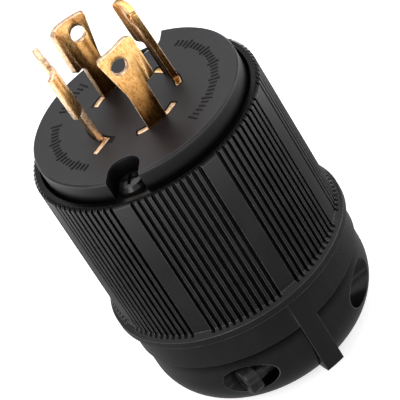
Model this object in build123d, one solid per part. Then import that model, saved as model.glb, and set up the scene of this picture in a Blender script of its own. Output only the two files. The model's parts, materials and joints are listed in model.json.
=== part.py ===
from build123d import *
import math
import os

# Locking power plug, standing on its rear end with the blades up.
# Millimetres. The origin is the middle of the flat rear end, +Z runs to the blades.
# Angles are degrees about Z, from +X towards +Y. The front blade faces -Y.

# Heights above the rear end
body_height = 74.2
face_raise = 0.4
cap_height = 14.2
block_height = 22.0
ring_top = 26.7
ring_height = 8.44
flange_height = 2.3

# Clearances
slide_gap = 0.1
loose_gap = 0.3
thread_gap = 0.05
parting_gap = 0.1

# Grip shell
grip_r = 28.5
grip_wall = 2.0
flange_stand = 1.54
flare_height = 1.0
mouth_drop = 4.3
mouth_bevel = 0.8
groove_depth = 0.8
groove_width = 1.0
groove_floor_width = 0.55
grooves_per_group = 11
groove_pitch_deg = 3.43
rib_groups = 8
ledge_width = 1.6
ledge_height = 4.0

# Front cap
mouth_gap = 0.8
cap_edge = 0.4
skirt_height = 6.0
skirt_slope = 0.6
notch_width = 8.0
notch_reach = 7.7
notch_depth = 5.5
assembly_screw_deg = 50.0

# Blades, as curved plates on one pitch circle
blade_outer_r = 11.9
blade_thickness = 1.5
neck_start_deg = -16.8
neck_end_deg = 9.5
neck_height = 10.3
hook_end_deg = 23.6
hook_slope_height = 16.5
hook_top_deg = 21.0
hook_top_height = 21.1
crown_deg = 11.0
crown_height = 23.2
back_top_deg = -26.7
back_top_height = 21.8
blade_corner_r = 0.7
blade_hole_r = 1.95
blade_hole_deg = -6.5
blade_hole_height = 17.8
shoulder_half_deg = 29.0
shoulder_drop = 0.1
foot_half_deg = 34.0
foot_length = 16.8

# Ground blade
ground_start_deg = -24.0
ground_end_deg = 22.0
ground_height = 27.3
leg_outer_r = 15.7
leg_foot_height = 11.2
leg_top_height = 23.0
leg_tip_height = 26.2
leg_tip_r = 12.2

# Terminal block
block_gap = 0.5
chamber_width = 9.4
chamber_height = 14.0
wire_hole_r = 3.0
wire_hole_inset = 7.4

# Terminal screws and pressure plates
terminal_screw_r = 2.0
terminal_head_r = 3.3
terminal_head_height = 2.4
terminal_screw_end = 7.5
wire_space = 2.5
plate_size = 8.0
plate_thickness = 1.5

# Assembly screws and their inserts
assembly_screw_r = 1.95
assembly_head_r = 3.4
assembly_head_height = 2.4
insert_r = 3.0
insert_length = 7.5
post_r = 4.2
screw_end_gap = 1.0
recess_depth = 1.1
recess_arm = 0.9

# Cord clamp
ring_stand = 0.06
ring_edge = 0.5
dome_step = 0.66
dome_corner_r = 12.0
clamp_wall = 2.6
spigot_height = 6.0
spigot_wall = 2.4
cord_bore_r = 9.5
cord_tube_wall = 3.0
cord_tube_height = 14.0
cord_mouth_bevel = 1.0
fin_width = 4.9
fin_end_height = 3.8
fin_root = 4.6

# Cord clamp screws and nuts
clamp_screw_inset = 6.65
clamp_screw_z = 11.5
clamp_recess_r = 4.2
clamp_seat_x = 6.5
clamp_boss_wall = 1.4
clamp_screw_r = 1.95
clamp_head_r = 3.5
clamp_head_height = 2.5
clamp_tip_x = 17.5
nut_width = 6.8
nut_height = 3.0
step_wall = 0.5

# Worked out from the values above
shell_bore_r = grip_r - grip_wall
flange_r = grip_r + flange_stand
cap_r = shell_bore_r - mouth_gap
ledge_r = shell_bore_r - ledge_width
block_r = ledge_r - block_gap
notch_centre_r = cap_r - notch_reach + notch_width / 2
wire_hole_centre_r = block_r - wire_hole_inset
ring_r = grip_r + ring_stand
dome_r = ring_r - dome_step
clamp_screw_y = dome_r - clamp_screw_inset
clamp_boss_r = clamp_recess_r + clamp_boss_wall
step_y = clamp_screw_y + clamp_screw_r + loose_gap + step_wall
face_z = body_height + face_raise
cap_bottom = body_height - cap_height
block_bottom = cap_bottom - block_height
mouth_z = body_height - mouth_drop
ring_bottom = ring_top - ring_height
flange_top = ring_top + flange_height
blade_inner_r = blade_outer_r - blade_thickness
blade_mid_r = blade_outer_r - blade_thickness / 2
foot_z = cap_bottom - foot_length
shoulder_top = face_z - shoulder_drop
terminal_z = cap_bottom - block_height / 2 + 1.0
plate_inner_r = blade_outer_r + wire_space
spigot_r = shell_bore_r - slide_gap
seat_z = face_z - notch_depth
insert_bottom = block_bottom - insert_length
far = 60.0

blade_angles = {
    "hot_blade_front": 270,
    "neutral_blade": 0,
    "hot_blade_back": 90,
    "ground_blade": 180,
}
sides = {"front": 270, "right": 0, "back": 90, "left": 180}


def turned(points):
    """A solid of revolution from (radius, height) points."""
    face = make_face(Polyline([(r, 0, z) for r, z in points], close=True))
    return revolve(face, axis=Axis.Z)


def upright(radius, bottom, top, x=0.0, y=0.0):
    """An upright cylinder between two heights."""
    return Pos(x, y, (bottom + top) / 2) * Cylinder(radius, top - bottom)


def across(radius, start, end, y, z):
    """A cylinder along X between two places."""
    return Pos((start + end) / 2, y, z) * Rot(Y=90) * Cylinder(radius, end - start)


def ring_band(inner, outer, bottom, top):
    return upright(outer, bottom, top) - upright(inner, bottom - 1, top + 1)


def arc_plate(outline, gap=0.0):
    """A plate bent to the blade circle, facing +X, from (degrees, height) points."""
    points = []
    for degrees, z in outline:
        points.append((blade_mid_r * math.sin(math.radians(degrees)), z))
    face = make_face(Polyline([(0, y, z) for y, z in points], close=True))
    heights = [z for degrees, z in outline]
    slab = extrude(Pos(blade_inner_r - 4, 0, 0) * face, amount=8, dir=(1, 0, 0))
    band = ring_band(blade_inner_r - gap, blade_outer_r + gap, min(heights) - 1, max(heights) + 1)
    return slab & band


def widened(degrees, gap):
    """The angle whose edge on the plate lies one gap further out."""
    reach = blade_mid_r * math.sin(math.radians(abs(degrees))) + gap
    return math.copysign(math.degrees(math.asin(reach / blade_mid_r)), degrees)


def at_screw(degrees):
    angle = math.radians(degrees)
    return notch_centre_r * math.cos(angle), notch_centre_r * math.sin(angle)


def grip_shell():
    outer = turned([
        (shell_bore_r, mouth_z),
        (grip_r - groove_depth, mouth_z - 0.1),
        (grip_r, mouth_z - mouth_bevel),
        (grip_r, flange_top + flare_height / 2),
        (flange_r, flange_top - flare_height / 2),
        (flange_r, ring_top),
        (shell_bore_r, ring_top),
        (shell_bore_r, cap_bottom - ledge_height),
        (ledge_r, cap_bottom - ledge_height),
        (ledge_r, cap_bottom),
        (shell_bore_r, cap_bottom),
    ])
    half = groove_width / 2
    half_floor = groove_floor_width / 2
    floor_r = grip_r - groove_depth
    groove = Polygon(
        (floor_r, -half_floor), (grip_r, -half), (grip_r + 1, -half),
        (grip_r + 1, half), (grip_r, half), (floor_r, half_floor), align=None,
    )
    grooves = Sketch()
    for group in range(rib_groups):
        middle = (group + 0.5) * 360 / rib_groups
        for index in range(grooves_per_group):
            offset = (index - (grooves_per_group - 1) / 2) * groove_pitch_deg
            grooves += Rot(Z=middle + offset) * groove
    cutters = extrude(Pos(0, 0, flange_top) * grooves, amount=mouth_z - flange_top + 1)
    return outer - cutters


def ground_leg(bottom, top_points, gap=0.0):
    """The upright leg that turns outwards from the end of the ground blade."""
    angle = ground_end_deg - math.degrees(blade_thickness / 2 / blade_mid_r)
    points = [(blade_mid_r, bottom), (leg_outer_r + gap, bottom)] + top_points
    face = make_face(Polyline([(r, 0, z) for r, z in points], close=True))
    leg = extrude(face, amount=blade_thickness / 2 + gap, dir=(0, 1, 0), both=True)
    return Rot(Z=angle) * leg


def front_cap():
    cap = turned([
        (0, cap_bottom),
        (shell_bore_r - slide_gap, cap_bottom),
        (shell_bore_r - slide_gap, cap_bottom + skirt_height),
        (cap_r, cap_bottom + skirt_height + skirt_slope),
        (cap_r, body_height),
        (cap_r - cap_edge, face_z),
        (0, face_z),
    ])
    low = cap_bottom - 1
    high = face_z + 1
    for name, angle in blade_angles.items():
        if name == "ground_blade":
            start = widened(ground_start_deg, slide_gap)
            end = widened(ground_end_deg, slide_gap)
            top = [(leg_outer_r + slide_gap, high), (blade_mid_r, high)]
            slot = ground_leg(low, top, slide_gap)
            slot += arc_plate([(start, low), (end, low), (end, high), (start, high)], slide_gap)
        else:
            half = widened(shoulder_half_deg, slide_gap)
            slot = arc_plate([(-half, low), (half, low), (half, high), (-half, high)], slide_gap)
        cap -= Rot(Z=angle) * slot
    for degrees in (assembly_screw_deg, assembly_screw_deg + 180):
        x, y = at_screw(degrees)
        notch = upright(notch_width / 2, seat_z, high, x, y)
        lane = Pos(notch_centre_r + notch_width, 0, (seat_z + high) / 2)
        lane *= Box(2 * notch_width, notch_width, high - seat_z)
        cap -= notch + Rot(Z=degrees) * lane
        cap -= upright(assembly_screw_r + loose_gap, low, high, x, y)
    return cap


def blade(name):
    """A blade with its shoulders in the cap and its foot in the terminal block."""
    foot = foot_half_deg
    low_part = [(-foot, foot_z), (foot, foot_z), (foot, cap_bottom)]
    if name == "ground_blade":
        start = ground_start_deg
        end = ground_end_deg
        top = body_height + ground_height
        plate = arc_plate(low_part + [(end, cap_bottom), (end, top), (start, top),
                                      (start, cap_bottom), (-foot, cap_bottom)])
        shoulder = [(leg_outer_r, shoulder_top), (blade_mid_r, shoulder_top)]
        hook = [
            (leg_outer_r, body_height + leg_top_height),
            (leg_tip_r, body_height + leg_tip_height),
            (blade_mid_r, body_height + leg_tip_height),
        ]
        plate += ground_leg(cap_bottom + 1, shoulder)
        plate += ground_leg(body_height + leg_foot_height, hook)
    else:
        half = shoulder_half_deg
        plate = arc_plate(low_part + [
            (half, cap_bottom),
            (half, shoulder_top),
            (neck_end_deg, shoulder_top),
            (neck_end_deg, body_height + neck_height),
            (hook_end_deg, body_height + neck_height),
            (hook_end_deg, body_height + hook_slope_height),
            (hook_top_deg, body_height + hook_top_height),
            (crown_deg, body_height + crown_height),
            (back_top_deg, body_height + back_top_height),
            (neck_start_deg, body_height + neck_height),
            (neck_start_deg, shoulder_top),
            (-half, shoulder_top),
            (-half, cap_bottom),
            (-foot, cap_bottom),
        ])
        edges = [
            edge for edge in plate.edges()
            if edge.center().Z > body_height + neck_height - 1
            and blade_thickness * 0.9 < edge.length < blade_thickness * 1.2
            and edge.geom_type == GeomType.LINE
        ]
        plate = fillet(edges, blade_corner_r)
        hole = Pos(blade_mid_r, 0, body_height + blade_hole_height) * Rot(Y=90)
        plate -= Rot(Z=blade_hole_deg) * hole * Cylinder(blade_hole_r, 6)
    plate -= across(terminal_screw_r + thread_gap, blade_inner_r - 2, blade_outer_r + 2, 0, terminal_z)
    return Rot(Z=blade_angles[name]) * plate


def terminal_block():
    block = upright(block_r, block_bottom, cap_bottom)
    floor = foot_z - slide_gap
    half = widened(foot_half_deg, slide_gap)
    top = cap_bottom + 1
    pocket = arc_plate([(-half, floor), (half, floor), (half, top), (-half, top)], slide_gap)
    depth = block_r + 5 - blade_mid_r
    chamber = Pos(blade_mid_r + depth / 2, 0, floor + chamber_height / 2)
    pocket += chamber * Box(depth, chamber_width, chamber_height)
    pocket += across(terminal_screw_r + loose_gap, terminal_screw_end - 1, blade_mid_r, 0, terminal_z)
    pocket += upright(wire_hole_r, block_bottom - 1, floor + 1, wire_hole_centre_r, 0)
    for angle in sides.values():
        block -= Rot(Z=angle) * pocket
    groove_r = assembly_screw_r + loose_gap
    for degrees in (assembly_screw_deg, assembly_screw_deg + 180):
        x, y = at_screw(degrees)
        block -= upright(groove_r, block_bottom - 1, top, x, y)
        lane = Pos(block_r, 0, (block_bottom + cap_bottom) / 2)
        lane *= Box(2 * (block_r - notch_centre_r), 2 * groove_r, block_height + 2)
        block -= Rot(Z=degrees) * lane
    return block


def screw(shaft_r, shaft_length, head_r, head_height, cross=True):
    """A screw hanging from z = 0, with its head above and a cross or a slot in it."""
    head = turned([
        (0, 0), (head_r, 0), (head_r, head_height * 0.45),
        (head_r * 0.8, head_height * 0.85), (head_r * 0.45, head_height), (0, head_height),
    ])
    shaft = turned([
        (0, -shaft_length), (shaft_r * 0.7, -shaft_length),
        (shaft_r, shaft_r * 0.4 - shaft_length), (shaft_r, 0), (0, 0),
    ])
    slot = Pos(0, 0, head_height) * Box(head_r * 1.15, recess_arm, 2 * recess_depth)
    if not cross:
        return head + shaft - Pos(0, 0, head_height) * Box(3 * head_r, recess_arm, 2 * recess_depth)
    return head + shaft - slot - Rot(Z=90) * slot


def terminal_screw(angle):
    seat_r = plate_inner_r + plate_thickness
    body = screw(terminal_screw_r, seat_r - terminal_screw_end, terminal_head_r,
                 terminal_head_height, cross=False)
    return Rot(Z=angle) * Pos(seat_r, 0, terminal_z) * Rot(Y=90) * body


def pressure_plate(angle):
    plate = Pos(plate_inner_r + plate_thickness / 2, 0, terminal_z)
    body = plate * Box(plate_thickness, plate_size, plate_size)
    body -= across(terminal_screw_r + slide_gap, plate_inner_r - 1, plate_inner_r + 3, 0, terminal_z)
    return Rot(Z=angle) * body


def assembly_screw(degrees):
    x, y = at_screw(degrees)
    length = seat_z - insert_bottom
    body = screw(assembly_screw_r, length, assembly_head_r, assembly_head_height)
    return Pos(x, y, seat_z) * Rot(Z=degrees) * body


def screw_insert(degrees):
    x, y = at_screw(degrees)
    body = upright(insert_r, insert_bottom, block_bottom, x, y)
    return body - upright(assembly_screw_r + thread_gap, insert_bottom - 1, block_bottom + 1, x, y)


def dome_profile(radius, corner_r, floor, top):
    """Half of the dome's section, with one round corner."""
    turn = corner_r * (1 - math.sqrt(0.5))
    low = Line((0, 0, floor), (radius - corner_r, 0, floor))
    corner = ThreePointArc(
        (radius - corner_r, 0, floor),
        (radius - turn, 0, floor + turn),
        (radius, 0, floor + corner_r),
    )
    side = Polyline((radius, 0, floor + corner_r), (radius, 0, top), (0, 0, top))
    close = Line((0, 0, top), (0, 0, floor))
    return revolve(make_face([low, corner, side, close]), axis=Axis.Z)


def clamp_screw_cuts():
    """Recesses, seats and bores for both cord clamp screws."""
    cuts = []
    for y in (-clamp_screw_y, clamp_screw_y):
        cuts.append(across(clamp_screw_r + loose_gap, -far, far, y, clamp_screw_z))
        cuts.append(across(clamp_recess_r, clamp_seat_x, far, y, clamp_screw_z))
        cuts.append(across(clamp_recess_r, -far, -clamp_seat_x, y, clamp_screw_z))
    return cuts


def clamp_body():
    """Both cord clamp halves before they are parted."""
    spigot_top = ring_top + spigot_height
    outside = dome_profile(dome_r, dome_corner_r, 0, ring_bottom)
    outside += turned([
        (0, ring_bottom), (ring_r - ring_edge, ring_bottom), (ring_r, ring_bottom + ring_edge),
        (ring_r, ring_top), (0, ring_top),
    ])
    outside += upright(spigot_r, ring_top, spigot_top)
    hollow = dome_profile(dome_r - clamp_wall, dome_corner_r - clamp_wall, clamp_wall, ring_bottom)
    hollow += turned([
        (0, ring_bottom),
        (dome_r - clamp_wall, ring_bottom),
        (spigot_r - spigot_wall, ring_top - 2),
        (spigot_r - spigot_wall, spigot_top + 1),
        (0, spigot_top + 1),
    ])
    tube_r = cord_bore_r + cord_tube_wall
    hollow -= upright(tube_r, 0, cord_tube_height)
    body = outside - hollow
    for y in (-clamp_screw_y, clamp_screw_y):
        body += across(clamp_boss_r, -dome_r, dome_r, y, clamp_screw_z) & outside
    for degrees in (assembly_screw_deg, assembly_screw_deg + 180):
        x, y = at_screw(degrees)
        body += upright(post_r, clamp_wall, block_bottom, x, y) & (
            outside + upright(spigot_r, ring_top, block_bottom))
    fins = Pos(0, 0, (fin_end_height + ring_top) / 2) * Box(fin_width, 2 * far, ring_top - fin_end_height)
    fins &= ring_band(ring_r - fin_root, ring_r, 0, ring_top)
    body += fins
    body -= turned([
        (0, -1), (cord_bore_r + cord_mouth_bevel + 1, -1),
        (cord_bore_r, cord_mouth_bevel), (cord_bore_r, cord_tube_height + 1),
        (0, cord_tube_height + 1),
    ])
    for cut in clamp_screw_cuts():
        body -= cut
    for degrees in (assembly_screw_deg, assembly_screw_deg + 180):
        x, y = at_screw(degrees)
        body -= upright(insert_r + thread_gap, insert_bottom, block_bottom + 1, x, y)
        body -= upright(assembly_screw_r + loose_gap, insert_bottom - screw_end_gap, block_bottom, x, y)
    return body


def half_mask():
    """The space of the right half, stepped so that each fin stays whole."""
    gap = parting_gap / 2
    step = fin_width / 2 + gap
    outline = Polygon(
        (gap, -step_y - gap), (gap - step, -step_y - gap), (gap - step, -far), (far, -far),
        (far, far), (step + gap, far), (step + gap, step_y - gap), (gap, step_y - gap), align=None,
    )
    return extrude(Pos(0, 0, -1) * outline, amount=body_height)


def clamp_screw(side):
    length = clamp_seat_x + clamp_tip_x
    body = screw(clamp_screw_r, length, clamp_head_r, clamp_head_height)
    body = Pos(clamp_seat_x, -clamp_screw_y, clamp_screw_z) * Rot(Y=90) * body
    return Rot(Z=side) * body


def clamp_nut(side):
    flats = RegularPolygon(nut_width / 2, 6, major_radius=False)
    body = extrude(flats, amount=nut_height) - Cylinder(clamp_screw_r + thread_gap, 4 * nut_height)
    place = Pos(-clamp_seat_x - nut_height, -clamp_screw_y, clamp_screw_z)
    return Rot(Z=side) * place * Rot(Y=90) * body


def main():
    nodes = {
        "front_cap": front_cap(),
        "grip_shell": grip_shell(),
        "terminal_block": terminal_block(),
    }
    both = clamp_body()
    nodes["cord_clamp_right"] = both & half_mask()
    nodes["cord_clamp_left"] = both & (Rot(Z=180) * half_mask())
    for name in blade_angles:
        nodes[name] = blade(name)
    for name, angle in sides.items():
        nodes["terminal_screw_" + name] = terminal_screw(angle)
        nodes["pressure_plate_" + name] = pressure_plate(angle)
    for name, degrees in (("back", assembly_screw_deg), ("front", assembly_screw_deg + 180)):
        nodes["assembly_screw_" + name] = assembly_screw(degrees)
        nodes["screw_insert_" + name] = screw_insert(degrees)
    for name, side in (("front", 0), ("back", 180)):
        nodes["clamp_screw_" + name] = clamp_screw(side)
        nodes["clamp_nut_" + name] = clamp_nut(side)
    os.makedirs("parts", exist_ok=True)
    for name, solid in nodes.items():
        solid.label = name
        export_step(solid, "parts/" + name + ".step")


main()
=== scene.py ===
import json
import math

import bmesh
import bpy
from mathutils import Matrix, Vector


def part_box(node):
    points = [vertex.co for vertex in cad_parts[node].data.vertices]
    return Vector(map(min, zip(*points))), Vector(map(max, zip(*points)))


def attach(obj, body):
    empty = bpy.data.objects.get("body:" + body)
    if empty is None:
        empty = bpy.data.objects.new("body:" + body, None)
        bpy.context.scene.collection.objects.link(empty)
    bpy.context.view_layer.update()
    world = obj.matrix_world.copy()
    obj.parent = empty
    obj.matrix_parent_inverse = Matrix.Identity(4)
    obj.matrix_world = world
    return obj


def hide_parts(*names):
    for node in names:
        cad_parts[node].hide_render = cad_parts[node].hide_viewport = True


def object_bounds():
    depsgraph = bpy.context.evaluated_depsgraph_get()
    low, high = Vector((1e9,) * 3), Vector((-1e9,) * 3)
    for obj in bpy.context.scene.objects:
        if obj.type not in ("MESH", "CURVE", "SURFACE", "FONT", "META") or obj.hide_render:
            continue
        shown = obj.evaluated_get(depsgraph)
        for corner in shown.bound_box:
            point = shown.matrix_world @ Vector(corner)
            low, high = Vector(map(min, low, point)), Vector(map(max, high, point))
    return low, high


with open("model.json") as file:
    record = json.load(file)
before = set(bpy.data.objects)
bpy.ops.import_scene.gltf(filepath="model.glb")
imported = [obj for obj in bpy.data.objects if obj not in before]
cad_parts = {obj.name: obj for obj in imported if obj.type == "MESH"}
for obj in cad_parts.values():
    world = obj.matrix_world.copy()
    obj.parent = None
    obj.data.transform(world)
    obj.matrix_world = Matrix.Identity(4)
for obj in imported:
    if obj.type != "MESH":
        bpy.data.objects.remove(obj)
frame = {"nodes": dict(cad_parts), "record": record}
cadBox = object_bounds()
print("frame loaded with", len(frame["nodes"]), "nodes")

# Shared by several pieces, in metres and degrees, on the plug's own axis
plug = {
    "faceHeight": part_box("front_cap")[1].z,
    "restHeight": 0.0,
    "smoothAngle": 35.0,
    "bevelAngle": 40.0,
    "sameSpot": 1e-6,
    "facing": 0.9,
}


def clearSelection():
    if bpy.context.object and bpy.context.object.mode != "OBJECT":
        bpy.ops.object.mode_set(mode="OBJECT")
    bpy.ops.object.select_all(action="DESELECT")


def activate(piece):
    clearSelection()
    bpy.context.view_layer.objects.active = piece
    piece.select_set(True)


def applyPlace():
    bpy.ops.object.transform_apply(location=True, rotation=True, scale=True)


# Node helpers for the materials
def newMaterial(name):
    material = bpy.data.materials.new(name)
    material.use_nodes = True
    tree = material.node_tree
    shader = tree.nodes["Principled BSDF"]
    coords = tree.nodes.new("ShaderNodeTexCoord")
    return material, tree, shader, coords.outputs["Object"]


def scaledCoords(tree, coords, scale):
    mapping = tree.nodes.new("ShaderNodeMapping")
    mapping.inputs["Scale"].default_value = scale
    tree.links.new(coords, mapping.inputs["Vector"])
    return mapping.outputs["Vector"]


def noise(tree, coords, scale, detail=4.0, roughness=0.55):
    node = tree.nodes.new("ShaderNodeTexNoise")
    node.inputs["Scale"].default_value = scale
    node.inputs["Detail"].default_value = detail
    node.inputs["Roughness"].default_value = roughness
    tree.links.new(coords, node.inputs["Vector"])
    return node.outputs["Fac"]


def ramp(tree, value, stops):
    node = tree.nodes.new("ShaderNodeValToRGB")
    while len(node.color_ramp.elements) < len(stops):
        node.color_ramp.elements.new(0.5)
    for element, (place, colour) in zip(node.color_ramp.elements, stops):
        element.position = place
        element.color = (*colour, 1.0)
    tree.links.new(value, node.inputs["Fac"])
    return node.outputs["Color"]


def mapRange(tree, value, start, end, low=0.0, high=1.0):
    node = tree.nodes.new("ShaderNodeMapRange")
    node.inputs["From Min"].default_value = start
    node.inputs["From Max"].default_value = end
    node.inputs["To Min"].default_value = low
    node.inputs["To Max"].default_value = high
    tree.links.new(value, node.inputs["Value"])
    return node.outputs["Result"]


def spread(tree, value, low, high):
    return mapRange(tree, value, 0.0, 1.0, low, high)


def mixColours(tree, factor, first, second, blend="MIX"):
    node = tree.nodes.new("ShaderNodeMix")
    node.data_type = "RGBA"
    node.blend_type = blend
    for socket, value in ((node.inputs[0], factor), (node.inputs[6], first), (node.inputs[7], second)):
        if isinstance(value, bpy.types.NodeSocket):
            tree.links.new(value, socket)
        elif isinstance(value, tuple):
            socket.default_value = (*value, 1.0)
        else:
            socket.default_value = value
    return node.outputs[2]


def mathNode(tree, operation, *values):
    node = tree.nodes.new("ShaderNodeMath")
    node.operation = operation
    for socket, value in zip(node.inputs, values):
        if isinstance(value, bpy.types.NodeSocket):
            tree.links.new(value, socket)
        else:
            socket.default_value = value
    return node.outputs[0]


def splitCoords(tree, coords):
    parts = tree.nodes.new("ShaderNodeSeparateXYZ")
    tree.links.new(coords, parts.inputs[0])
    return parts.outputs


def axisRadius(tree, parts):
    squares = [mathNode(tree, "MULTIPLY", parts[axis], parts[axis]) for axis in ("X", "Y")]
    return mathNode(tree, "SQRT", mathNode(tree, "ADD", *squares))


def bump(tree, height, strength, distance, under=None):
    node = tree.nodes.new("ShaderNodeBump")
    node.inputs["Strength"].default_value = strength
    node.inputs["Distance"].default_value = distance
    tree.links.new(height, node.inputs["Height"])
    if under is not None:
        tree.links.new(under, node.inputs["Normal"])
    return node.outputs["Normal"]


def softEdges(tree, radius, samples):
    node = tree.nodes.new("ShaderNodeBevel")
    node.samples = samples
    node.inputs["Radius"].default_value = radius
    return node.outputs["Normal"]


# The bevelled normal set against the true one: 1 on flat stretches, less at edges
def edgeTurn(tree, rounded):
    surface = tree.nodes.new("ShaderNodeNewGeometry")
    turn = tree.nodes.new("ShaderNodeVectorMath")
    turn.operation = "DOT_PRODUCT"
    tree.links.new(rounded, turn.inputs[0])
    tree.links.new(surface.outputs["True Normal"], turn.inputs[1])
    return turn.outputs["Value"]


# Moulded black nylon
nylonLook = {
    "shell": {"dark": (0.0045, 0.0045, 0.005), "pale": (0.009, 0.009, 0.0095), "rough": (0.20, 0.32)},
    "face": {"dark": (0.0078, 0.0070, 0.0088), "pale": (0.0155, 0.0136, 0.0174), "rough": (0.36, 0.50)},
    "blotchRange": (0.3, 0.7),
    "blotchMix": 0.5,
    "cloudScale": 90.0,
    "flowStretch": (60.0, 60.0, 14.0),
    "flowScale": 9.0,
    "edgeRadius": 0.0003,
    "edgeSamples": 6,
    # Edge keys: a paler tone along the edges, a painted highlight that also reads as rubbed wear
    "edgeHighlightTone": (0.16, 0.16, 0.165),
    "edgeSharpness": (0.99, 0.82),
    "edgeHighlightAmount": 0.85,
    "edgePatchScale": 240.0,
    "edgePatchStops": [(0.36, (0.25, 0.25, 0.25)), (0.6, (1.0, 1.0, 1.0))],
    "grainScale": 3800.0,
    "grainStrength": 0.5,
    "grainDepth": 0.000012,
    "waveStrength": 0.25,
    "waveDepth": 0.00004,
    "refraction": 1.5,
}
shellShade = {
    "grooveRadius": (0.0284, 0.0279),
    "grooveFoot": 0.0278,
    "underRing": (0.0155, 0.0184),
    "underRingRadius": 0.0282,
    "cavityShadeTones": [(0.0, (1.0, 1.0, 1.0)), (1.0, (0.12, 0.12, 0.12))],
}
capShade = {
    "wallDepth": (0.0072, 0.0002),
    "wallShadeStops": [(0.0, (0.14, 0.14, 0.14)), (0.88, (0.42, 0.42, 0.42)), (0.97, (1.0, 1.0, 1.0))],
    "tickClear": 0.00004,
    "tickShadeTone": (0.42, 0.42, 0.42),
    "slotMiddle": 0.01115,
    "slotHalf": 0.00112,
    "slotReach": 0.862,
    "slotShadeTone": (0.12, 0.12, 0.12),
}


# Painted shade: dark inside the grooves and under the clamp's ring, pale elsewhere
def cavityShade(tree, coords):
    parts = splitCoords(tree, coords)
    radius = axisRadius(tree, parts)
    depth = mapRange(tree, radius, *shellShade["grooveRadius"])
    above = mathNode(tree, "GREATER_THAN", parts["Z"], shellShade["grooveFoot"])
    groove = mathNode(tree, "MULTIPLY", depth, above)
    low, high = shellShade["underRing"]
    climb = mapRange(tree, parts["Z"], low, high)
    below = mathNode(tree, "LESS_THAN", parts["Z"], high)
    inside = mathNode(tree, "LESS_THAN", radius, shellShade["underRingRadius"])
    corner = mathNode(tree, "MULTIPLY", mathNode(tree, "MULTIPLY", climb, below), inside)
    return ramp(tree, mathNode(tree, "MAXIMUM", groove, corner), shellShade["cavityShadeTones"])


# Painted shade: the cap gets darker down its wall, beside the blades' slots and on the raised ticks
def wallShade(tree, coords):
    parts = splitCoords(tree, coords)
    radius = axisRadius(tree, parts)
    across = mathNode(tree, "ABSOLUTE", parts["X"])
    along = mathNode(tree, "ABSOLUTE", parts["Y"])
    near = mathNode(tree, "COMPARE", radius, capShade["slotMiddle"], capShade["slotHalf"])
    share = mathNode(tree, "DIVIDE", mathNode(tree, "MAXIMUM", across, along), radius)
    facing = mathNode(tree, "GREATER_THAN", share, capShade["slotReach"])
    besideSlot = mathNode(tree, "MULTIPLY", near, facing)
    raised = mathNode(tree, "GREATER_THAN", parts["Z"], plug["faceHeight"] + capShade["tickClear"])
    foot, top = [plug["faceHeight"] - depth for depth in capShade["wallDepth"]]
    wall = ramp(tree, mapRange(tree, parts["Z"], foot, top), capShade["wallShadeStops"])
    slotted = mixColours(tree, besideSlot, wall, capShade["slotShadeTone"])
    return mixColours(tree, raised, slotted, capShade["tickShadeTone"])


def blackNylon(name, look, shadeOf=None):
    material, tree, shader, coords = newMaterial(name)
    cloud = noise(tree, coords, nylonLook["cloudScale"], detail=5.0)
    flowCoords = scaledCoords(tree, coords, nylonLook["flowStretch"])
    flow = noise(tree, flowCoords, nylonLook["flowScale"], detail=3.0)
    blotch = mixColours(tree, nylonLook["blotchMix"], cloud, flow)
    plain = ramp(tree, blotch, list(zip(nylonLook["blotchRange"], (look["dark"], look["pale"]))))
    rounded = softEdges(tree, nylonLook["edgeRadius"], nylonLook["edgeSamples"])
    sharpness = nylonLook["edgeSharpness"]
    # Painted highlight on the edges, in patches, paler where the bevelled normal turns from the true one; it
    # also stands for rubbed wear
    edgeWearAndHighlight = mapRange(tree, edgeTurn(tree, rounded), *sharpness, high=nylonLook["edgeHighlightAmount"])
    edgePatches = noise(tree, coords, nylonLook["edgePatchScale"], detail=6.0, roughness=0.7)
    wornAndHighlitEdges = mathNode(tree, "MULTIPLY", edgeWearAndHighlight, ramp(tree, edgePatches, nylonLook["edgePatchStops"]))
    colour = mixColours(tree, wornAndHighlitEdges, plain, nylonLook["edgeHighlightTone"])
    # The painted shade darkens both the colour and the specular tint
    if shadeOf is not None:
        shade = shadeOf(tree, coords)
        tree.links.new(shade, shader.inputs["Specular Tint"])
        colour = mixColours(tree, 1.0, colour, shade, "MULTIPLY")
    tree.links.new(colour, shader.inputs["Base Color"])
    tree.links.new(spread(tree, cloud, *look["rough"]), shader.inputs["Roughness"])
    grain = noise(tree, coords, nylonLook["grainScale"], detail=3.0)
    wave = bump(tree, cloud, nylonLook["waveStrength"], nylonLook["waveDepth"], rounded)
    rugged = bump(tree, grain, nylonLook["grainStrength"], nylonLook["grainDepth"], wave)
    tree.links.new(rugged, shader.inputs["Normal"])
    shader.inputs["IOR"].default_value = nylonLook["refraction"]
    return material


# Brushed brass, with a painted dark reflection of the black face at the necks, and paler, rougher rims whose
# paleness is a painted highlight
brassLook = {
    "speckScale": 3400.0,
    "speckMix": 0.45,
    "mottle": [(0.36, (0.46, 0.21, 0.06)), (0.46, (0.84, 0.46, 0.15)), (0.62, (1.0, 0.66, 0.31))],
    "brown": (0.36, 0.17, 0.05),
    "streaks": (2600.0, 2600.0, 800.0),
    "streakStrength": 0.35,
    "streakDepth": 0.00002,
    "stainScale": 160.0,
    "stainStops": [(0.5, (0.0, 0.0, 0.0)), (0.78, (0.8, 0.8, 0.8))],
    "rough": (0.20, 0.36),
    # Painted dark reflection of the black face, darkest just above it
    "neckReflectionStops": [(0.0, (1.0, 1.0, 1.0)), (0.02, (0.17, 0.12, 0.08)), (0.38, (0.25, 0.20, 0.15)),
                  (0.66, (0.62, 0.55, 0.47)), (0.92, (1.0, 1.0, 1.0))],
    "neckReach": 0.018,
    "neckSide": -0.0065,
}
rimLook = {
    "rimMottleScale": 1400.0,
    "stops": [(0.32, (0.62, 0.36, 0.17)), (0.52, (0.95, 0.68, 0.45)), (0.7, (1.0, 0.82, 0.64))],
    "rough": (0.32, 0.55),
}


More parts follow.
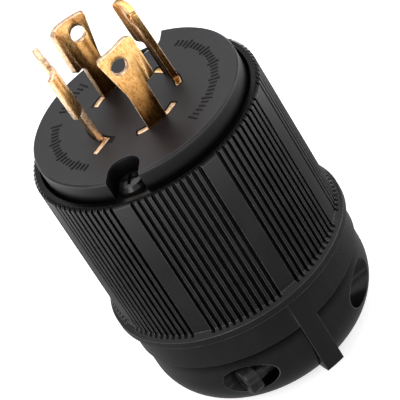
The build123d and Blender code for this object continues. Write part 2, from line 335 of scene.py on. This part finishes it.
def brushedBrass(name):
    material, tree, shader, coords = newMaterial(name)
    stain = noise(tree, coords, brassLook["stainScale"], detail=6.0, roughness=0.65)
    streak = noise(tree, scaledCoords(tree, coords, brassLook["streaks"]), 1.0, detail=4.0)
    speck = noise(tree, coords, brassLook["speckScale"], detail=3.0)
    mottled = mixColours(tree, brassLook["speckMix"], streak, speck)
    golden = ramp(tree, mottled, brassLook["mottle"])
    colour = mixColours(tree, ramp(tree, stain, brassLook["stainStops"]), golden, brassLook["brown"])
    parts = splitCoords(tree, coords)
    foot = plug["faceHeight"]
    # Painted dark reflection of the black face on the necks, on every blade but the ground one
    neck = ramp(tree, mapRange(tree, parts["Z"], foot, foot + brassLook["neckReach"]), brassLook["neckReflectionStops"])
    besideGround = mathNode(tree, "GREATER_THAN", parts["X"], brassLook["neckSide"])
    tree.links.new(mixColours(tree, besideGround, colour, neck, "MULTIPLY"), shader.inputs["Base Color"])
    shader.inputs["Metallic"].default_value = 1.0
    tree.links.new(spread(tree, streak, *brassLook["rough"]), shader.inputs["Roughness"])
    scratched = bump(tree, streak, brassLook["streakStrength"], brassLook["streakDepth"])
    tree.links.new(scratched, shader.inputs["Normal"])
    return material


# Pale brass for the blades' rims: its paler colour is a painted highlight
def paleRim(name):
    material, tree, shader, coords = newMaterial(name)
    rimMottle = noise(tree, coords, rimLook["rimMottleScale"], detail=5.0)
    tree.links.new(ramp(tree, rimMottle, rimLook["stops"]), shader.inputs["Base Color"])
    tree.links.new(spread(tree, rimMottle, *rimLook["rough"]), shader.inputs["Roughness"])
    shader.inputs["Metallic"].default_value = 1.0
    return material


# Screws and nuts
steelLook = {
    "speckScale": 900.0,
    "speckRange": (0.3, 0.7),
    "speckStrength": 0.3,
    "speckDepth": 0.00001,
    "zinc": {"dark": (0.42, 0.42, 0.43), "pale": (0.6, 0.6, 0.6), "rough": (0.25, 0.4), "metal": 1.0},
    "black": {"dark": (0.005, 0.005, 0.006), "pale": (0.014, 0.014, 0.015), "rough": (0.16, 0.3),
              "metal": 0.2},
    "clamp": {"dark": (0.012, 0.012, 0.013), "pale": (0.03, 0.03, 0.032), "rough": (0.2, 0.36),
              "metal": 0.3},
}


def screwSteel(name, look):
    material, tree, shader, coords = newMaterial(name)
    speck = noise(tree, coords, steelLook["speckScale"], detail=5.0)
    stops = list(zip(steelLook["speckRange"], (look["dark"], look["pale"])))
    tree.links.new(ramp(tree, speck, stops), shader.inputs["Base Color"])
    tree.links.new(spread(tree, speck, *look["rough"]), shader.inputs["Roughness"])
    pitted = bump(tree, speck, steelLook["speckStrength"], steelLook["speckDepth"])
    tree.links.new(pitted, shader.inputs["Normal"])
    shader.inputs["Metallic"].default_value = look["metal"]
    return material


finishes = {
    "shell_plastic": blackNylon("shellNylon", nylonLook["shell"], cavityShade),
    "face_plastic": blackNylon("faceNylon", nylonLook["face"], wallShade),
    "block_plastic": blackNylon("blockNylon", nylonLook["face"]),
    "blade_brass": brushedBrass("bladeBrass"),
    "plate_brass": brushedBrass("plateBrass"),
    "terminal_steel": screwSteel("terminalZinc", steelLook["zinc"]),
    "black_steel": screwSteel("blackSteel", steelLook["black"]),
    "clamp_steel": screwSteel("clampSteel", steelLook["clamp"]),
}
rimBrass = paleRim("rimBrass")
slotOf = {row["node"]: row["material_slot"] for row in frame["record"]["subparts"]}
for nodeName, node in frame["nodes"].items():
    node.data.materials.clear()
    node.data.materials.append(finishes[slotOf[nodeName]])
print("finishes on the packed nodes")

# Brass blades, each a flat plate that is cut out, bent round the axis and rounded at its rims
bladeShape = {
    "outerRadius": 0.0119,
    "thickness": 0.0015,
    "foot": (-34.0, 34.0),
    "footHeight": 0.0432,
    "capBottom": 0.060,
    "shoulderHeight": plug["faceHeight"] - 0.0001,
    "neckHeight": 0.0843,
    "cornerRadius": 0.0009,
    "cornerSteps": 4,
    "rimRadius": 0.00025,
    "rimSteps": 2,
    "sideFacing": 0.5,
    "holeSides": 40,
    "cutStep": 2.4,
    "screwHole": {"degrees": 0.0, "height": 0.050, "radius": 0.00205},
}
middleRadius = bladeShape["outerRadius"] - bladeShape["thickness"] / 2

# Edges are in degrees round the axis, corners in degrees and heights.
# A hook's corners are its heel, side, shoulder, crown and tip.
hotBlade = {
    "shoulders": (-29.0, 29.0),
    "tilt": 0.0,
    "paleSides": True,
    "neck": (-15.5, 9.8),
    "hook": [(24.6, 0.0843), (24.6, 0.0950), (21.0, 0.0962), (11.0, 0.0964), (-26.2, 0.0956)],
    "hole": {"degrees": -6.0, "height": 0.0917, "radius": 0.00195},
}
neutralBlade = {
    "shoulders": (-29.0, 29.0),
    "tilt": -2.0,
    "paleSides": False,
    "neck": (-13.5, 9.8),
    "hook": [(24.6, 0.0843), (24.6, 0.0950), (21.0, 0.0962), (11.0, 0.0964), (-22.5, 0.0956)],
    "hole": {"degrees": -3.0, "height": 0.0917, "radius": 0.00195},
}
groundBlade = {
    "shoulders": (-24.0, 22.0),
    "tilt": 2.0,
    "plate": (-24.0, 4.0),
    "topHeights": (0.0997, 0.0989),
    "rollBottom": 0.0848,
    "rollTop": 0.0967,
    "rollRadius": 0.0055,
    "neckTurn": 24.0,
    "neckSteps": 5,
    "rollTurn": 72.0,
    "rollSteps": 10,
    "edgeFacing": 0.99,
    "sideFacing": 0.7,
    "armStart": 14.3,
    "armReach": 0.0038,
}


def pickElements(piece, kind, test):
    bpy.ops.mesh.select_mode(type=kind)
    bpy.ops.mesh.select_all(action="DESELECT")
    mesh = bmesh.from_edit_mesh(piece.data)
    for element in (mesh.verts if kind == "VERT" else mesh.faces):
        element.select_set(test(element))
    mesh.select_flush_mode()
    bmesh.update_edit_mesh(piece.data)


def nearPlace(place):
    return lambda vertex: (vertex.co - place).length < plug["sameSpot"]


def onPlate(point):
    degrees, height = point
    return Vector((middleRadius * math.radians(degrees), 0.0, height))


# A flat plate from its foot up: each row is its left and its right corner
def growPlate(name, rows):
    clearSelection()
    low = [onPlate(point) for point in rows[0]]
    high = [onPlate(point) for point in rows[1]]
    bpy.ops.mesh.primitive_plane_add(size=1.0, location=(0, 0, 0), rotation=(math.pi / 2, 0, 0))
    piece = bpy.context.object
    piece.name = name
    applyPlace()
    bpy.ops.object.mode_set(mode="EDIT")
    bpy.ops.mesh.select_all(action="SELECT")
    bpy.ops.transform.resize(value=(low[1].x - low[0].x, 1.0, high[0].z - low[0].z))
    bpy.ops.transform.translate(value=((low[0].x + low[1].x) / 2, 0.0, (low[0].z + high[0].z) / 2))
    left, right = high
    for row in rows[2:]:
        newLeft, newRight = [onPlate(point) for point in row]
        pickElements(piece, "VERT", lambda vertex: nearPlace(left)(vertex) or nearPlace(right)(vertex))
        bpy.ops.mesh.extrude_region_move(TRANSFORM_OT_translate={"value": newLeft - left})
        mesh = bmesh.from_edit_mesh(piece.data)
        moved = [vertex.index for vertex in mesh.verts if vertex.select and not nearPlace(newLeft)(vertex)]
        pickElements(piece, "VERT", lambda vertex: vertex.index in moved)
        bpy.ops.transform.translate(value=newRight - (right + newLeft - left))
        left, right = newLeft, newRight
    return piece


# One face with its upper corners rounded, and then its thickness
def weldPlate(piece, cornerHeight):
    bpy.ops.mesh.select_mode(type="VERT")
    bpy.ops.mesh.select_all(action="SELECT")
    bpy.ops.mesh.remove_doubles(threshold=plug["sameSpot"])
    bpy.ops.mesh.select_mode(type="FACE")
    bpy.ops.mesh.select_all(action="SELECT")
    bpy.ops.mesh.dissolve_faces()
    pickElements(piece, "VERT", lambda vertex: vertex.co.z > cornerHeight)
    bpy.ops.mesh.bevel(offset=bladeShape["cornerRadius"], segments=bladeShape["cornerSteps"],
                       affect="VERTICES")
    bpy.ops.mesh.select_all(action="SELECT")
    bpy.ops.mesh.extrude_region_move(TRANSFORM_OT_translate={"value": (0, bladeShape["thickness"], 0)})
    bpy.ops.mesh.select_all(action="SELECT")
    bpy.ops.transform.translate(value=(0, -bladeShape["thickness"] / 2, 0))
    bpy.ops.mesh.normals_make_consistent(inside=False)
    bpy.ops.object.mode_set(mode="OBJECT")


def finishModifier(piece, kind, **values):
    modifier = piece.modifiers.new(kind.lower(), kind)
    for name, value in values.items():
        setattr(modifier, name, value)
    activate(piece)
    bpy.ops.object.modifier_apply(modifier=modifier.name)


def punchHole(piece, hole):
    clearSelection()
    place = onPlate((hole["degrees"], hole["height"]))
    bpy.ops.mesh.primitive_cylinder_add(vertices=bladeShape["holeSides"], radius=hole["radius"],
                                        depth=4 * bladeShape["thickness"], location=place,
                                        rotation=(math.pi / 2, 0, 0))
    punch = bpy.context.object
    finishModifier(piece, "BOOLEAN", operation="DIFFERENCE", solver="EXACT", object=punch)
    bpy.data.objects.remove(punch)


# The cut sides get the pale rim brass, a painted highlight, and so does the bevel round them
def roundRims(piece, clamp, isCutSide):
    piece.data.materials.append(finishes["blade_brass"])
    piece.data.materials.append(rimBrass)
    for face in piece.data.polygons:
        face.material_index = int(isCutSide(face))
    finishModifier(piece, "BEVEL", width=bladeShape["rimRadius"], segments=bladeShape["rimSteps"],
                   limit_method="ANGLE", angle_limit=math.radians(plug["bevelAngle"]),
                   use_clamp_overlap=clamp, material=1)


# Cuts across the plate, so that it can bend
def slicePlate(piece, heights=(), degrees=()):
    activate(piece)
    bpy.ops.object.mode_set(mode="EDIT")
    low, high = bladeShape["foot"]
    count = int((high - low) / bladeShape["cutStep"])
    across = [low + (high - low) * step / count for step in range(1, count)] + list(degrees)
    for cut in across:
        bpy.ops.mesh.select_all(action="SELECT")
        bpy.ops.mesh.bisect(plane_co=onPlate((cut, 0.0)), plane_no=(1, 0, 0))
    for cut in heights:
        bpy.ops.mesh.select_all(action="SELECT")
        bpy.ops.mesh.bisect(plane_co=(0, 0, cut), plane_no=(0, 0, 1))
    bpy.ops.object.mode_set(mode="OBJECT")


# Round the plug's axis, with the plate's middle to the front
def bendPlate(piece):
    places = [vertex.co.x for vertex in piece.data.vertices]
    angle = (max(places) - min(places)) / middleRadius
    finishModifier(piece, "SIMPLE_DEFORM", deform_method="BEND", deform_axis="Z", angle=angle)
    piece.location.y = -middleRadius
    applyPlace()


# The part above the face tips about its foot, by some degrees towards the axis or away from it
def leanBlade(piece, tilt):
    activate(piece)
    bpy.ops.object.mode_set(mode="EDIT")
    pickElements(piece, "VERT", lambda vertex: vertex.co.z > plug["faceHeight"])
    foot = (0.0, -middleRadius, plug["faceHeight"])
    bpy.ops.transform.rotate(value=math.radians(-tilt), orient_axis="X", center_override=foot)
    bpy.ops.object.mode_set(mode="OBJECT")


def placeBlade(piece, turn, node):
    activate(piece)
    piece.rotation_euler.z = math.radians(turn)
    applyPlace()
    bpy.ops.object.shade_smooth_by_angle(angle=math.radians(plug["smoothAngle"]))
    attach(piece, "root")
    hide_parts(node)


def rootRows(shoulders):
    foot, top = bladeShape["foot"], bladeShape["shoulderHeight"]
    return [
        [(edge, bladeShape["footHeight"]) for edge in foot],
        [(edge, bladeShape["capBottom"]) for edge in foot],
        [(edge, bladeShape["capBottom"]) for edge in shoulders],
        [(edge, top) for edge in shoulders],
    ]


def hookedBlade(name, shape, turn, lean, node):
    neck = [edge + lean for edge in shape["neck"]]
    heel, side, shoulder, crown, tip = [(degrees + lean, height) for degrees, height in shape["hook"]]
    bend = bladeShape["neckHeight"]
    rows = rootRows(shape["shoulders"]) + [
        [(edge, bladeShape["shoulderHeight"]) for edge in neck],
        [(edge, bend) for edge in neck],
        [(neck[0], bend), heel],
        [tip, side],
        [tip, shoulder],
        [tip, crown],
    ]
    piece = growPlate(name, rows)
    weldPlate(piece, bend - bladeShape["thickness"])
    hole = dict(shape["hole"])
    hole["degrees"] += lean
    punchHole(piece, hole)
    punchHole(piece, bladeShape["screwHole"])

    def isCutSide(face):
        return shape["paleSides"] and abs(face.normal.y) < bladeShape["sideFacing"]

    roundRims(piece, True, isCutSide)
    slicePlate(piece)
    bendPlate(piece)
    leanBlade(piece, shape["tilt"])
    placeBlade(piece, turn, node)


def rolledBlade(name, shape, turn, node):
    start, end = shape["plate"]
    tops = shape["topHeights"]
    rows = rootRows(shape["shoulders"]) + [
        [(start, bladeShape["shoulderHeight"]), (end, bladeShape["shoulderHeight"])],
        [(start, tops[0]), (end, tops[1])],
    ]
    piece = growPlate(name, rows)
    weldPlate(piece, tops[1] - bladeShape["thickness"])
    punchHole(piece, bladeShape["screwHole"])
    levels = (plug["faceHeight"], shape["rollBottom"], shape["rollTop"])
    slicePlate(piece, heights=levels, degrees=(shape["armStart"],))
    bendPlate(piece)
    bpy.ops.object.mode_set(mode="EDIT")
    edge = Vector((math.sin(math.radians(end)), -math.cos(math.radians(end)), 0.0))
    along = Vector((math.cos(math.radians(end)), math.sin(math.radians(end)), 0.0))
    centre = edge * (bladeShape["outerRadius"] - bladeShape["thickness"] + shape["rollRadius"])

    def atEdge(face):
        middle = face.calc_center_median()
        isEnd = face.normal.dot(along) > shape["edgeFacing"]
        return isEnd and plug["faceHeight"] < middle.z < shape["rollTop"]

    pickElements(piece, "FACE", atEdge)
    neckTurn = math.radians(shape["neckTurn"])
    bpy.ops.mesh.spin(steps=shape["neckSteps"], angle=neckTurn, center=centre, axis=(0, 0, 1))
    mesh = bmesh.from_edit_mesh(piece.data)
    turned = [face for face in mesh.faces if face.select]
    ends = [face.index for face in turned if face.calc_center_median().z > shape["rollBottom"]]
    pickElements(piece, "FACE", lambda face: face.index in ends)
    restTurn = math.radians(shape["rollTurn"] - shape["neckTurn"])
    bpy.ops.mesh.spin(steps=shape["rollSteps"], angle=restTurn, center=centre, axis=(0, 0, 1))

    def onShoulder(face):
        middle = face.calc_center_median()
        degrees = math.degrees(math.atan2(middle.x, -middle.y))
        outward = Vector((middle.x, middle.y, 0.0)).normalized()
        onArm = shape["armStart"] < degrees < shape["shoulders"][1]
        inCap = bladeShape["capBottom"] < middle.z < bladeShape["shoulderHeight"]
        return onArm and inCap and face.normal.dot(outward) > plug["facing"]

    pickElements(piece, "FACE", onShoulder)
    armAngle = math.radians((shape["armStart"] + shape["shoulders"][1]) / 2)
    reach = Vector((math.sin(armAngle), -math.cos(armAngle), 0.0)) * shape["armReach"]
    bpy.ops.mesh.extrude_region_move(TRANSFORM_OT_translate={"value": reach})
    bpy.ops.mesh.select_all(action="SELECT")
    bpy.ops.mesh.remove_doubles(threshold=plug["sameSpot"])
    bpy.ops.mesh.normals_make_consistent(inside=False)
    bpy.ops.object.mode_set(mode="OBJECT")

    def isCutSide(face):
        middle = Vector((face.center.x, face.center.y, 0.0))
        pastEdge = math.degrees(math.atan2(middle.x, -middle.y)) > end
        onRoll = pastEdge and face.center.z > plug["faceHeight"]
        outward = (middle - centre if onRoll else middle).normalized()
        return abs(face.normal.dot(outward)) < shape["sideFacing"]

    roundRims(piece, False, isCutSide)
    leanBlade(piece, shape["tilt"])
    placeBlade(piece, turn, node)


hookedBlade("front_blade", hotBlade, 0.0, 0.0, "hot_blade_front")
hookedBlade("back_blade", hotBlade, 180.0, 3.0, "hot_blade_back")
hookedBlade("right_blade", neutralBlade, 90.0, 0.0, "neutral_blade")
rolledBlade("left_blade", groundBlade, -90.0, "ground_blade")
print("blades shaped")

# Clamp screws, whose heads fill the recesses, and their nuts
clampScrew = {
    "headRadius": 0.0035,
    "headHeight": 0.0032,
    "headStart": 0.0158,
    "shaftRadius": 0.00195,
    "shaftEnd": 0.0105,
    "domeInset": 0.0007,
    "domeSteps": 4,
    "roundSides": 48,
    "slotWidth": 0.0009,
    "slotDepth": 0.0012,
    "slotReach": 1.3,
    "across": 0.02125,
    "height": 0.0115,
    "nutRadius": 0.0039,
    "nutSides": 6,
    "nutStart": 0.0065,
    "nutHeight": 0.003,
    "boreGap": 0.00005,
    "rimRadius": 0.0003,
    "rimSteps": 2,
}


# A bar along X, from one place to another
def barAlongX(radius, sides, start, end):
    clearSelection()
    bpy.ops.mesh.primitive_cylinder_add(vertices=sides, radius=radius, depth=abs(end - start),
                                        rotation=(0, math.pi / 2, 0))
    bar = bpy.context.object
    bar.location.x = (start + end) / 2
    return bar


def placeFastener(piece, turn, node):
    activate(piece)
    piece.location = (0.0, -clampScrew["across"], clampScrew["height"])
    applyPlace()
    piece.rotation_euler.z = math.radians(turn)
    applyPlace()
    bpy.ops.object.shade_smooth_by_angle(angle=math.radians(plug["smoothAngle"]))
    piece.data.materials.append(finishes["clamp_steel"])
    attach(piece, "root")
    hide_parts(node)


def headedScrew(name, turn, node):
    under, top = -clampScrew["headStart"], -clampScrew["headStart"] - clampScrew["headHeight"]
    piece = barAlongX(clampScrew["headRadius"], clampScrew["roundSides"], under, top)
    piece.name = name
    applyPlace()
    bpy.ops.object.mode_set(mode="EDIT")
    pickElements(piece, "FACE", lambda face: face.normal.x > plug["facing"])
    bpy.ops.mesh.inset(thickness=clampScrew["headRadius"] - clampScrew["shaftRadius"])
    shaft = clampScrew["shaftEnd"] - under
    bpy.ops.mesh.extrude_region_move(TRANSFORM_OT_translate={"value": (shaft, 0, 0)})
    pickElements(piece, "FACE", lambda face: face.normal.x < -plug["facing"])
    bpy.ops.mesh.bevel(offset=clampScrew["domeInset"], segments=clampScrew["domeSteps"])
    bpy.ops.object.mode_set(mode="OBJECT")
    width, length = clampScrew["slotWidth"], clampScrew["slotReach"] * clampScrew["headRadius"]
    for size in ((length, width), (width, length)):
        clearSelection()
        bpy.ops.mesh.primitive_cube_add(size=1.0)
        cutter = bpy.context.object
        cutter.scale = (2 * clampScrew["slotDepth"], *size)
        cutter.location.x = top
        finishModifier(piece, "BOOLEAN", operation="DIFFERENCE", solver="EXACT", object=cutter)
        bpy.data.objects.remove(cutter)
    placeFastener(piece, turn, node)


def hexNut(name, turn, node):
    start, height = clampScrew["nutStart"], clampScrew["nutHeight"]
    piece = barAlongX(clampScrew["nutRadius"], clampScrew["nutSides"], start, start + height)
    piece.name = name
    applyPlace()
    bore = clampScrew["shaftRadius"] + clampScrew["boreGap"]
    punch = barAlongX(bore, clampScrew["roundSides"], start - 2 * height, start + 2 * height)
    finishModifier(piece, "BOOLEAN", operation="DIFFERENCE", solver="EXACT", object=punch)
    bpy.data.objects.remove(punch)
    finishModifier(piece, "BEVEL", width=clampScrew["rimRadius"], segments=clampScrew["rimSteps"],
                   limit_method="ANGLE", angle_limit=math.radians(plug["bevelAngle"]))
    placeFastener(piece, turn, node)


for place, turn in (("front", 0.0), ("back", 180.0)):
    headedScrew(place + "_clamp_screw", turn, "clamp_screw_" + place)
    hexNut(place + "_clamp_nut", turn, "clamp_nut_" + place)
print("clamp screws and nuts")

# Plain raised ticks on the front face, in arcs beside the blades
faceTicks = {
    "middleRadius": 0.0200,
    "longTick": 0.0030,
    "shortTick": 0.0019,
    "longEvery": 5,
    "width": 0.00055,
    "height": 0.00022,
    "sunk": 0.00003,
    "draft": (0.9, 0.62, 1.0),
    "rimShare": 0.25,
    "rimSteps": 2,
    "spacing": 3.6,
    "arcs": {"face_ticks_left": (136.0, 19), "face_ticks_back": (97.0, 8), "face_ticks_right": (-77.0, 29)},
}


def modelTick(length):
    clearSelection()
    bpy.ops.mesh.primitive_cube_add(size=1.0)
    tick = bpy.context.object
    bpy.ops.object.mode_set(mode="EDIT")
    bpy.ops.mesh.select_all(action="SELECT")
    bpy.ops.transform.resize(value=(length, faceTicks["width"], faceTicks["height"] + faceTicks["sunk"]))
    lift = plug["faceHeight"] + (faceTicks["height"] - faceTicks["sunk"]) / 2
    bpy.ops.transform.translate(value=(faceTicks["middleRadius"], 0.0, lift))
    pickElements(tick, "FACE", lambda face: face.normal.z > plug["facing"])
    bpy.ops.transform.resize(value=faceTicks["draft"])
    bpy.ops.mesh.bevel(offset=faceTicks["height"] * faceTicks["rimShare"], segments=faceTicks["rimSteps"])
    bpy.ops.object.mode_set(mode="OBJECT")
    tick.data.materials.append(finishes["face_plastic"])
    return tick


def tickArc(name, start, count):
    patterns = [modelTick(faceTicks["shortTick"]), modelTick(faceTicks["longTick"])]
    copies = []
    for step in range(count):
        activate(patterns[step % faceTicks["longEvery"] == 0])
        bpy.ops.object.duplicate()
        copy = bpy.context.object
        copy.rotation_euler.z = math.radians(start + step * faceTicks["spacing"])
        applyPlace()
        copies.append(copy)
    for pattern in patterns:
        bpy.data.objects.remove(pattern)
    for copy in copies:
        copy.select_set(True)
    bpy.context.view_layer.objects.active = copies[0]
    bpy.ops.object.join()
    arc = bpy.context.object
    arc.name = name
    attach(arc, "root")


for arcName, (start, count) in faceTicks["arcs"].items():
    tickArc(arcName, start, count)
print("ticks on the face")

# Camera: where it stands, what it aims at and how far it is rolled
photoCamera = {
    "place": (-0.14286, -0.54883, 0.42388),
    "aim": (0.00035, -0.00258, 0.04507),
    "roll": -32.397,
    "lens": 268.75,
    "sensor": 36.0,
    "nearest": 0.01,
    "farthest": 20.0,
}


def turnedTo(place, target):
    return (Vector(place) - Vector(target)).to_track_quat("Z", "Y")


cameraData = bpy.data.cameras.new("photoCamera")
cameraData.lens = photoCamera["lens"]
cameraData.sensor_width = photoCamera["sensor"]
cameraData.clip_start = photoCamera["nearest"]
cameraData.clip_end = photoCamera["farthest"]
camera = bpy.data.objects.new("photoCamera", cameraData)
bpy.context.scene.collection.objects.link(camera)
level = turnedTo(photoCamera["place"], photoCamera["aim"]).to_matrix().to_4x4()
rolled = Matrix.Rotation(math.radians(photoCamera["roll"]), 4, "Z")
camera.matrix_world = Matrix.Translation(photoCamera["place"]) @ level @ rolled
bpy.context.scene.camera = camera
print("camera placed")

# Floor, world and lamps
studio = {
    "floorSize": 6.0,
    "floorPale": (0.8, 0.8, 0.8),
    "floorRough": 0.9,
    "floorGlow": 0.7,
    # The floor as mirrored: a painted shadow round the plug and a glow further out
    "mirrorNear": 0.03,
    "mirrorFar": 0.17,
    "mirrorShadowAndGlowStops": [(0.0, (0.33, 0.33, 0.33)), (0.5, (0.31, 0.31, 0.31)), (0.65, (0.50, 0.50, 0.50)),
                    (0.79, (1.7, 1.7, 1.7)), (1.0, (2.1, 2.1, 2.1))],
    "sideReach": 0.10,
    "mirrorSideGlowStops": [(0.0, (1.0, 1.0, 1.0)), (0.45, (0.75, 0.75, 0.75)), (1.0, (0.9, 0.9, 0.9))],
    "skyStops": [(0.0, (0.10, 0.10, 0.10)), (0.35, (0.30, 0.30, 0.30)), (0.62, (0.75, 0.75, 0.75)),
                 (1.0, (0.55, 0.55, 0.55))],
    "skyLight": 0.82,
    "lamps": [
        {"name": "keyPanel", "place": (-0.9, -0.5, 0.9), "size": 0.7, "power": 5.0},
        {"name": "sidePanel", "place": (1.2, -0.2, 0.5), "size": 0.6, "power": 2.5},
        {"name": "topPanel", "place": (0.2, 0.7, 1.2), "size": 0.8, "power": 4.0},
    ],
}


# What the camera sees: the lit floor and an even glow, so that the shadow stays
def seenFloor(tree, shader, path):
    glow = tree.nodes.new("ShaderNodeEmission")
    strength = mathNode(tree, "MULTIPLY", path.outputs["Is Camera Ray"], studio["floorGlow"])
    tree.links.new(strength, glow.inputs["Strength"])
    both = tree.nodes.new("ShaderNodeAddShader")
    tree.links.new(shader.outputs[0], both.inputs[0])
    tree.links.new(glow.outputs[0], both.inputs[1])
    return both.outputs[0]


# What the plug mirrors: a floor that is dim close by and bright further out, a painted shadow round the plug
# and a glow beyond, brighter to the sides, seen only in reflections
def mirroredFloor(tree, coords):
    distance = tree.nodes.new("ShaderNodeVectorMath")
    distance.operation = "LENGTH"
    tree.links.new(coords, distance.inputs[0])
    reach = mapRange(tree, distance.outputs["Value"], studio["mirrorNear"], studio["mirrorFar"])
    across = mapRange(tree, splitCoords(tree, coords)["X"], -studio["sideReach"], studio["sideReach"])
    outward = ramp(tree, reach, studio["mirrorShadowAndGlowStops"])
    sideways = ramp(tree, across, studio["mirrorSideGlowStops"])
    glow = tree.nodes.new("ShaderNodeEmission")
    tree.links.new(mixColours(tree, 1.0, outward, sideways, "MULTIPLY"), glow.inputs["Color"])
    return glow.outputs[0]


def paleFloor():
    clearSelection()
    bpy.ops.mesh.primitive_plane_add(size=studio["floorSize"], location=(0, 0, plug["restHeight"]))
    floor = bpy.context.object
    floor.name = "studioFloor"
    material, tree, shader, coords = newMaterial("paleFloor")
    shader.inputs["Base Color"].default_value = (*studio["floorPale"], 1.0)
    shader.inputs["Roughness"].default_value = studio["floorRough"]
    path = tree.nodes.new("ShaderNodeLightPath")
    chosen = tree.nodes.new("ShaderNodeMixShader")
    tree.links.new(path.outputs["Is Glossy Ray"], chosen.inputs[0])
    tree.links.new(seenFloor(tree, shader, path), chosen.inputs[1])
    tree.links.new(mirroredFloor(tree, coords), chosen.inputs[2])
    tree.links.new(chosen.outputs[0], tree.nodes["Material Output"].inputs["Surface"])
    floor.data.materials.append(material)


def softLamp(lamp, target):
    data = bpy.data.lights.new(lamp["name"], "AREA")
    data.size = lamp["size"]
    data.energy = lamp["power"]
    light = bpy.data.objects.new(lamp["name"], data)
    bpy.context.scene.collection.objects.link(light)
    light.location = lamp["place"]
    light.rotation_euler = turnedTo(lamp["place"], target).to_euler()


def whiteWorld():
    world = bpy.data.worlds.new("studioWorld")
    bpy.context.scene.world = world
    world.use_nodes = True
    tree = world.node_tree
    background = tree.nodes["Background"]
    coords = tree.nodes.new("ShaderNodeTexCoord")
    rise = splitCoords(tree, coords.outputs["Generated"])["Z"]
    mirrored = ramp(tree, rise, studio["skyStops"])
    path = tree.nodes.new("ShaderNodeLightPath")
    low = (studio["skyLight"],) * 3
    unseen = mixColours(tree, path.outputs["Is Glossy Ray"], low, mirrored)
    colour = mixColours(tree, path.outputs["Is Camera Ray"], unseen, (1.0, 1.0, 1.0))
    tree.links.new(colour, background.inputs["Color"])


paleFloor()
whiteWorld()
middle = (cadBox[0] + cadBox[1]) / 2
for lamp in studio["lamps"]:
    softLamp(lamp, middle)
bpy.context.scene.view_settings.view_transform = "Standard"
print("studio ready")
